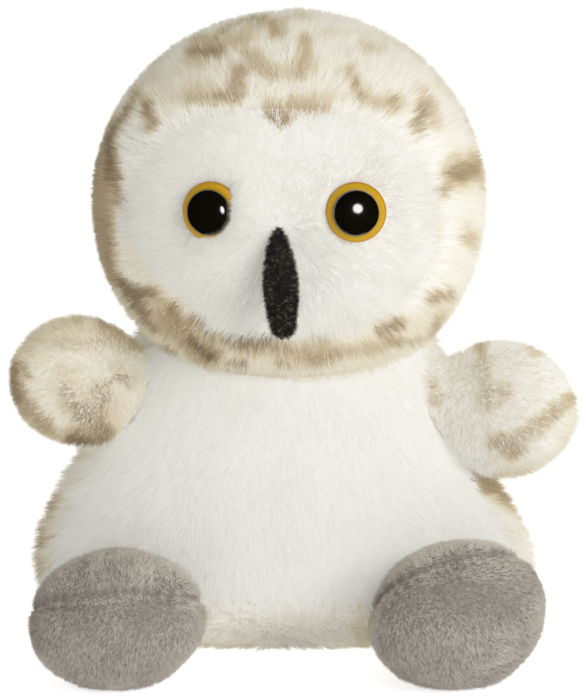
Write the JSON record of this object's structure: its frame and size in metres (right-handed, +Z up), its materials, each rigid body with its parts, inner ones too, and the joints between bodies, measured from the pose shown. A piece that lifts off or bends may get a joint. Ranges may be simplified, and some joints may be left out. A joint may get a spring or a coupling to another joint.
{
  "type": "plush owl",
  "caption": "Sitting plush owl with a round head, domed safety eyes, a small hanging beak, two paddle wings and two pellet-filled feet.",
  "frame": {"origin": "on the flat of the base that the owl sits on, under the middle of the head", "axes": "+Z up, the owl faces -Y, +X to its side on the right of a front view"},
  "size_m": [0.112, 0.0895, 0.129],
  "materials": {
    "white_plush": "soft long-pile plush, matte",
    "spotted_plush": "off-white plush with light brown spots, matte",
    "grey_velboa": "short velvety pile, matte",
    "black_velboa": "short velvety pile, matte",
    "filling": "loose polyester fibre",
    "pellets": "thin cloth pouch of plastic pellets",
    "iris": "moulded, satin",
    "pupil": "moulded, polished",
    "washer": "moulded, plain"
  },
  "bodies": {
    "torso": {"base_panel": "spotted_plush", "belly_panel": "white_plush", "back_panel_right": "spotted_plush", "back_panel_left": "spotted_plush", "pellet_pouch": "pellets", "torso_filling": "filling"},
    "head": {"face_panel": "white_plush", "head_panel_right": "spotted_plush", "head_panel_left": "spotted_plush", "head_filling": "filling", "beak_cover": "black_velboa", "beak_filling": "filling", "left_iris": "iris", "left_pupil": "pupil", "left_lock_washer": "washer", "right_iris": "iris", "right_pupil": "pupil", "right_lock_washer": "washer"},
    "left_wing": {"left_wing_front": "spotted_plush", "left_wing_back": "spotted_plush", "left_wing_filling": "filling"},
    "right_wing": {"right_wing_front": "spotted_plush", "right_wing_back": "spotted_plush", "right_wing_filling": "filling"},
    "left_foot": {"left_foot_upper": "grey_velboa", "left_foot_sole": "grey_velboa", "left_foot_pellets": "pellets"},
    "right_foot": {"right_foot_upper": "grey_velboa", "right_foot_sole": "grey_velboa", "right_foot_pellets": "pellets"}
  },
  "joints": [
    {"name": "head_turn", "type": "hinge", "parent": "torso", "child": "head", "pos_m": [0, 0, 0.0568], "axis": [0, 0, 1], "range_deg": [-15, 15], "stiffness_Nm_per_rad": 0.05},
    {"name": "left_wing_flap", "type": "hinge", "parent": "torso", "child": "left_wing", "pos_m": [-0.0326, -0.00502, 0.05313], "axis": [0.4203, 0.0762, 0.9042], "range_deg": [-10, 35], "stiffness_Nm_per_rad": 0.02},
    {"name": "right_wing_flap", "type": "hinge", "parent": "torso", "child": "right_wing", "pos_m": [0.03182, -0.00512, 0.05108], "axis": [-0.3288, 0.0769, 0.9412], "range_deg": [-35, 10], "stiffness_Nm_per_rad": 0.02},
    {"name": "left_foot_flop", "type": "hinge", "parent": "torso", "child": "left_foot", "pos_m": [-0.02974, -0.01991, 0.01156], "axis": [0.9781, -0.2079, 0], "range_deg": [-20, 12], "stiffness_Nm_per_rad": 0.05},
    {"name": "right_foot_flop", "type": "hinge", "parent": "torso", "child": "right_foot", "pos_m": [0.02893, -0.01986, 0.01147], "axis": [0.9703, 0.2419, 0], "range_deg": [-20, 12], "stiffness_Nm_per_rad": 0.05}
  ]
}
